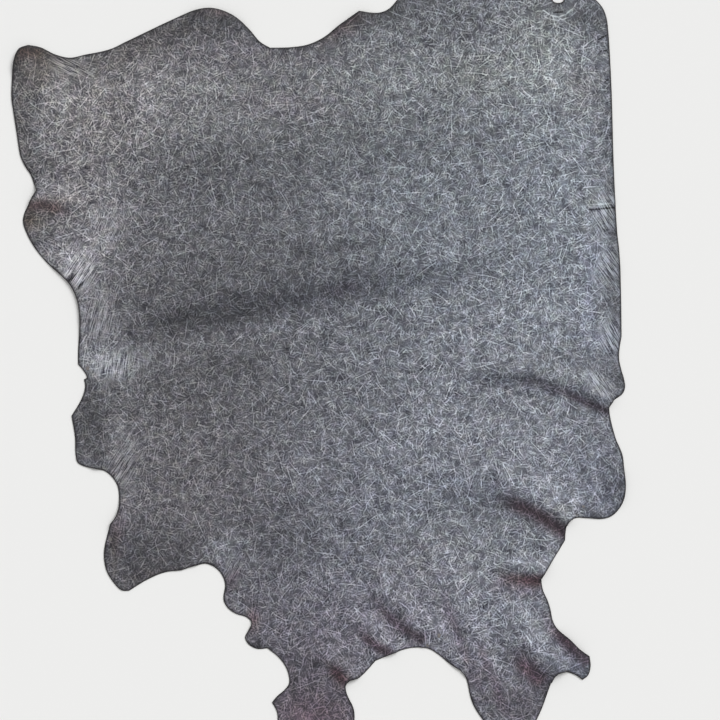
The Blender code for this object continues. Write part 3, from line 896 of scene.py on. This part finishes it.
def addVeins(tree, place, web):
    # The lines along which a cloudy noise passes its middle value, 0.5: a ramp of how far off
    # it is. They come and go with the green of the noise's colour.
    size, halfWide, strength = grain["veins"]
    hidden, full = grain["veinsShow"]
    hills = addNode(tree, "TexNoise", {
        "Vector": place, "Scale": 1 / size, "Detail": 2.0, "Roughness": 0.55, "Distortion": 0.6},
        noise_dimensions="2D").node
    off = addNode(tree, "Math", {0: hills.outputs[0], 1: 0.5}, operation="SUBTRACT")
    off = addNode(tree, "Math", {0: off}, operation="ABSOLUTE")
    vein = addNode(tree, "MapRange", {
        "Value": off, "From Min": 0.0, "From Max": 2 * halfWide,
        "To Min": strength, "To Max": 0.0}, interpolation_type="SMOOTHSTEP")
    green = addNode(tree, "SeparateColor", {0: hills.outputs[1]}, out=1)
    shown = addNode(tree, "MapRange", {"Value": green, "From Min": hidden, "From Max": full})
    return addNode(tree, "Math", {0: vein, 1: shown, 2: web}, operation="MULTIPLY_ADD")


def gather(tree, place, web, boldness):
    # The strokes gather in clumps, and the pigment lies thicker there:
    # web * (1 + clump * how much) * boldness + clump * how pale, clump between -1 and 1.
    size, gathered, paler = grain["clump"]
    barest, fullest = grain["clumpSpan"]
    noise = addNode(tree, "TexNoise", {
        "Vector": place, "Scale": 1 / size, "Detail": 2.0, "Roughness": 0.5}, noise_dimensions="2D")
    clump = addNode(tree, "MapRange", {
        "Value": noise, "From Min": barest, "From Max": fullest, "To Min": -1.0, "To Max": 1.0})
    more = addNode(tree, "Math", {0: clump, 1: gathered, 2: 1.0}, operation="MULTIPLY_ADD")
    more = addNode(tree, "Math", {0: more, 1: boldness}, operation="MULTIPLY")
    web = addNode(tree, "Math", {0: web, 1: more}, operation="MULTIPLY")
    return addNode(tree, "Math", {0: clump, 1: paler, 2: web}, operation="MULTIPLY_ADD")


def addPulled(tree, web):
    # Stretch lines take the place of the strokes, as far as the attribute's third value says.
    # They are a noise in its first two, squeezed across the way they run.
    dense, sparse = grain["pulled"]
    off, on = grain["pulledSpan"]
    between, within = grain["pulledLevel"]
    pulled = addNode(tree, "Attribute", out=1, attribute_name="pulled")
    pulled = addNode(tree, "SeparateXYZ", {0: pulled}).node
    across = addNode(tree, "Math", {0: pulled.outputs[0], 1: dense}, operation="MULTIPLY")
    along = addNode(tree, "Math", {0: pulled.outputs[1], 1: sparse}, operation="MULTIPLY")
    squeezed = addNode(tree, "CombineXYZ", {0: across, 1: along})
    hairs = addNode(tree, "TexNoise", {
        "Vector": squeezed, "Scale": 1.0, "Detail": 2.0, "Roughness": 0.5}, noise_dimensions="2D")
    hairs = addNode(tree, "MapRange", {
        "Value": hairs, "From Min": off, "From Max": on, "To Min": between, "To Max": within})
    return addNode(tree, "Mix", {0: pulled.outputs[2], 2: web, 3: hairs}, data_type="FLOAT")


def addMarks(tree, place, web):
    # The sum of level * strength * ramp, a ramp being 1 in the middle of its oval and 0 at the
    # rim. Each mark takes in the last one's result and adds to its Z.
    carried = place
    for row in marks:
        mark = dict(zip(markColumns, row))
        ramp = addNode(tree, "TexGradient", {0: carried}, out=1, gradient_type="SPHERICAL")
        where = ramp.node.texture_mapping
        where.vector_type = "TEXTURE"
        where.translation = (mark["x"], mark["y"], 0.0)
        where.rotation = (0.0, 0.0, math.radians(mark["turn"]))
        where.scale = (mark["long"], mark["wide"], 1e4)     # Z counts for nothing
        level = (0.0, 0.0, grain["markLevel"] * mark["strength"])
        carried = addNode(tree, "VectorMath", {
            0: ramp, 1: level, 2: carried}, operation="MULTIPLY_ADD")
    total = addNode(tree, "SeparateXYZ", {0: carried}, out=2)
    return addNode(tree, "Math", {0: web, 1: total}, operation="ADD")


def newMaterial(name):
    # a material, its nodes and its shader
    material = bpy.data.materials.new(name)
    material.use_nodes = True
    return material, material.node_tree, material.node_tree.nodes["Principled BSDF"]


def giveSurface(tree, shader, colour, height, look):
    # the colour, the relief and the gloss
    relief = addNode(tree, "Bump", {
        "Height": height, "Strength": 1.0, "Distance": look["depth"] * mm})
    tree.links.new(colour, shader.inputs["Base Color"])
    tree.links.new(relief, shader.inputs["Normal"])
    shader.inputs["Roughness"].default_value = look["roughness"]
    shader.inputs["Specular IOR Level"].default_value = look["specular"]


def printedGrain(middle):
    # Waxed pigment on a flat, close grain: a soft, slightly uneven grey with a low gloss that
    # shows only along the folds. Everything is laid out in the tables' own millimetres.
    material, tree, shader = newMaterial("distressed print, rubbed and waxed, with painted shading")
    place = addNode(tree, "TexCoord", out=3)
    place = addNode(tree, "VectorMath", {
        0: place, 1: (1 / mm, 1 / mm, 0.0), 2: (*middle, 0.0)}, operation="MULTIPLY_ADD")
    dyeAndPaintedShading = addNode(tree, "Attribute", attribute_name="dyeAndPaintedShading").node
    web = 0.0
    for number, layer in enumerate(grain["layers"]):
        stroke = strokeLayer(tree, place, layer, number)
        web = addNode(tree, "Math", {0: stroke, 1: web}, operation="ADD")
    web = addVeins(tree, place, web)
    web = gather(tree, place, web, dyeAndPaintedShading.outputs[3])
    web = addPulled(tree, web)
    web = addMarks(tree, place, web)

    # clouds in the ground coat, then ground or pigment by the level reached
    size, cloudy = grain["clouds"]
    least, most = grain["cloudSpan"]
    cloud = addNode(tree, "TexNoise", {
        "Vector": place, "Scale": 1 / size, "Detail": 3.0, "Roughness": 0.55}, noise_dimensions="2D")
    clouds = addNode(tree, "MapRange", {
        "Value": cloud, "From Min": least, "From Max": most, "To Min": -cloudy, "To Max": cloudy})
    level = addNode(tree, "Math", {0: web, 1: clouds}, operation="ADD")
    darkest, palest = grain["levelSpan"]
    level = addNode(tree, "MapRange", {
        "Value": level, "From Min": darkest, "From Max": palest, "To Min": darkest, "To Max": palest})
    printed = addNode(tree, "Mix", {
        0: level, 6: fromHex(grain["ground"]), 7: fromHex(grain["stroke"])},
        out=2, data_type="RGBA", clamp_factor=False)

    # the colour wanders a little and takes on the attribute's dye tones with their painted light and
    # shade
    size, change, start = grain["drift"]
    drift = addNode(tree, "TexNoise", {
        "Vector": place, "Scale": 1 / size, "Detail": 2.0, "Roughness": 0.6},
        out=1, noise_dimensions="2D")
    drift = addNode(tree, "VectorMath", {0: drift, 1: change, 2: start}, operation="MULTIPLY_ADD")
    printed = addNode(tree, "Mix", {0: 1.0, 6: printed, 7: drift},
                      out=2, data_type="RGBA", blend_type="MULTIPLY")
    dyed = addNode(tree, "Mix", {0: 1.0, 6: printed, 7: dyeAndPaintedShading.outputs[0]},
                   out=2, data_type="RGBA", blend_type="MULTIPLY")

    # the dye soaked in from the cut, to a line that wavers with the clouds
    full, none, share, waver = grain["soak"]
    toEdge = addNode(tree, "Attribute", out=2, attribute_name="toEdge")
    wavers = addNode(tree, "MapRange", {
        "Value": cloud, "From Min": least, "From Max": most, "To Min": 1 - waver, "To Max": 1 + waver})
    toEdge = addNode(tree, "Math", {0: toEdge, 1: wavers}, operation="MULTIPLY")
    soaked = addNode(tree, "MapRange", {
        "Value": toEdge, "From Min": full, "From Max": none, "To Min": share, "To Max": 0.0})
    edged = addNode(tree, "Mix", {0: soaked, 6: dyed, 7: fromHex(grain["edgeDye"])},
                    out=2, data_type="RGBA")
    pores = addNode(tree, "TexNoise", {
        "Vector": place, "Scale": 1 / grain["grainSize"], "Detail": 2.0}, noise_dimensions="2D")
    giveSurface(tree, shader, edged, pores, grain)
    return material


# The raw cut through the fibres, dark with dye: nearly black, rough.
cut = {
    "dark": "#121013",
    "pale": "#3a3334",
    "fibre": 1.6,              # mm, several fibres together
    "depth": 0.2,              # mm
    "roughness": 0.9,
    "specular": 0.25,
}


def cutLeather():
    # a noise of the fibres' size gives the colour and the relief
    material, tree, shader = newMaterial("cut edge, dyed fibres")
    place = addNode(tree, "TexCoord", out=3)
    place = addNode(tree, "VectorMath", {0: place, "Scale": 1 / mm}, operation="SCALE")
    fibres = addNode(tree, "TexNoise", {"Vector": place, "Scale": 1 / cut["fibre"], "Detail": 3.0})
    colour = addNode(tree, "Mix", {0: fibres, 6: fromHex(cut["dark"]), 7: fromHex(cut["pale"])},
                     out=2, data_type="RGBA")
    giveSurface(tree, shader, colour, fibres, cut)
    return material


# The split flesh side: short nap, so no gloss, a mottled grey-brown and a soft sheen.
suede = {
    "dark": "#5d5a5c",
    "pale": "#8f8a87",
    "mottle": 38.0,            # mm
    "nap": 1.9,                # mm, coarser than life
    "napShare": 0.45,          # of the change in colour; the mottling has the rest
    "span": (0.3, 0.7),        # of the noises, from dark to pale
    "depth": 0.35,             # mm
    "roughness": 0.95,
    "specular": 0.2,
    "sheen": 0.35,
    "sheenRoughness": 0.5,
}


def suedeFlesh():
    # the mottling and the nap mixed for the colour, the nap alone for the relief
    material, tree, shader = newMaterial("flesh side, split suede")
    place = addNode(tree, "TexCoord", out=3)
    place = addNode(tree, "VectorMath", {0: place, "Scale": 1 / mm}, operation="SCALE")
    mottle = addNode(tree, "TexNoise", {
        "Vector": place, "Scale": 1 / suede["mottle"], "Detail": 4.0, "Roughness": 0.6})
    nap = addNode(tree, "TexNoise", {
        "Vector": place, "Scale": 1 / suede["nap"], "Detail": 3.0, "Roughness": 0.65})
    both = addNode(tree, "Mix", {0: suede["napShare"], 2: mottle, 3: nap}, data_type="FLOAT")
    darkest, palest = suede["span"]
    level = addNode(tree, "MapRange", {"Value": both, "From Min": darkest, "From Max": palest})
    colour = addNode(tree, "Mix", {0: level, 6: fromHex(suede["dark"]), 7: fromHex(suede["pale"])},
                     out=2, data_type="RGBA")
    giveSurface(tree, shader, colour, nap, suede)
    shader.inputs["Sheen Weight"].default_value = suede["sheen"]
    shader.inputs["Sheen Roughness"].default_value = suede["sheenRoughness"]
    return material


# The hide itself, on the CAD sheet's place.
hideLow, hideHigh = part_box("hide")
hide = makeHide(hideLow, hideHigh)
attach(hide, "root")
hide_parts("hide")
print("hide made")


# Floor, light and camera. Lengths in metres.
studio = {
    "floor": 60.0,             # side of the floor, far past the horizon of a low view
    "floorColour": "#efefee",
    "floorRoughness": 0.9,
    "floorSpecular": 0.1,
    "view": (0.083, 0.0215),   # what the camera looks at
    "viewSize": 1.44,          # how much of the floor the picture spans
    "lens": 100.0,             # mm
    "sensor": 36.0,
    "sunTurn": 47.0,           # degrees from +X towards +Y
    "sunHeight": 38.0,         # degrees over the floor
    "sunSoft": 34.0,           # degrees across
    "sunPower": 2.3,
    "skyTop": 0.52,            # radiance overhead
    "skySide": 0.84,           # radiance at the horizon
    "skyTopFrom": 0.35,        # the sine of the height from which it is skyTop
}


def makeFloor():
    # one square of board with an even coat of matte white, which shows no grain
    half = studio["floor"] / 2
    corners = [(-half, -half, 0.0), (half, -half, 0.0), (half, half, 0.0), (-half, half, 0.0)]
    mesh = bpy.data.meshes.new("floor")
    mesh.from_pydata(corners, [], [(0, 1, 2, 3)])
    material, _, shader = newMaterial("matte board, rolled with white paint")
    shader.inputs["Base Color"].default_value = fromHex(studio["floorColour"])
    shader.inputs["Roughness"].default_value = studio["floorRoughness"]
    shader.inputs["Specular IOR Level"].default_value = studio["floorSpecular"]
    mesh.materials.append(material)
    floor = bpy.data.objects.new("floor", mesh)
    bpy.context.scene.collection.objects.link(floor)
    return floor


def makeLight():
    # a broad soft lamp up to the right, and pale walls round a dimmer ceiling
    lamp = bpy.data.lights.new("softLamp", "SUN")
    lamp.energy = studio["sunPower"]
    lamp.angle = math.radians(studio["sunSoft"])
    sun = bpy.data.objects.new("softLamp", lamp)
    tilt = 90.0 - studio["sunHeight"]
    sun.rotation_euler = (0.0, math.radians(tilt), math.radians(studio["sunTurn"]))
    bpy.context.scene.collection.objects.link(sun)
    world = bpy.data.worlds.new("studio")
    world.use_nodes = True
    bpy.context.scene.world = world
    tree = world.node_tree
    direction = addNode(tree, "TexCoord", out=0)
    upward = addNode(tree, "SeparateXYZ", {0: direction}, out=2)
    glow = addNode(tree, "MapRange", {
        "Value": upward, "From Min": 0.0, "From Max": studio["skyTopFrom"],
        "To Min": studio["skySide"], "To Max": studio["skyTop"]})
    tree.links.new(glow, tree.nodes["Background"].inputs["Strength"])
    tree.nodes["Background"].inputs["Color"].default_value = (1.0, 1.0, 1.0, 1.0)


def makeCamera():
    # straight above, as far off as makes the picture span viewSize
    data = bpy.data.cameras.new("camera")
    data.lens, data.sensor_width = studio["lens"], studio["sensor"]
    camera = bpy.data.objects.new("camera", data)
    away = studio["viewSize"] / studio["sensor"] * studio["lens"]
    camera.location = (*studio["view"], away)
    bpy.context.scene.collection.objects.link(camera)
    bpy.context.scene.camera = camera


makeFloor()
makeLight()
makeCamera()
bpy.context.scene.view_settings.view_transform = "Standard"
print("studio made")
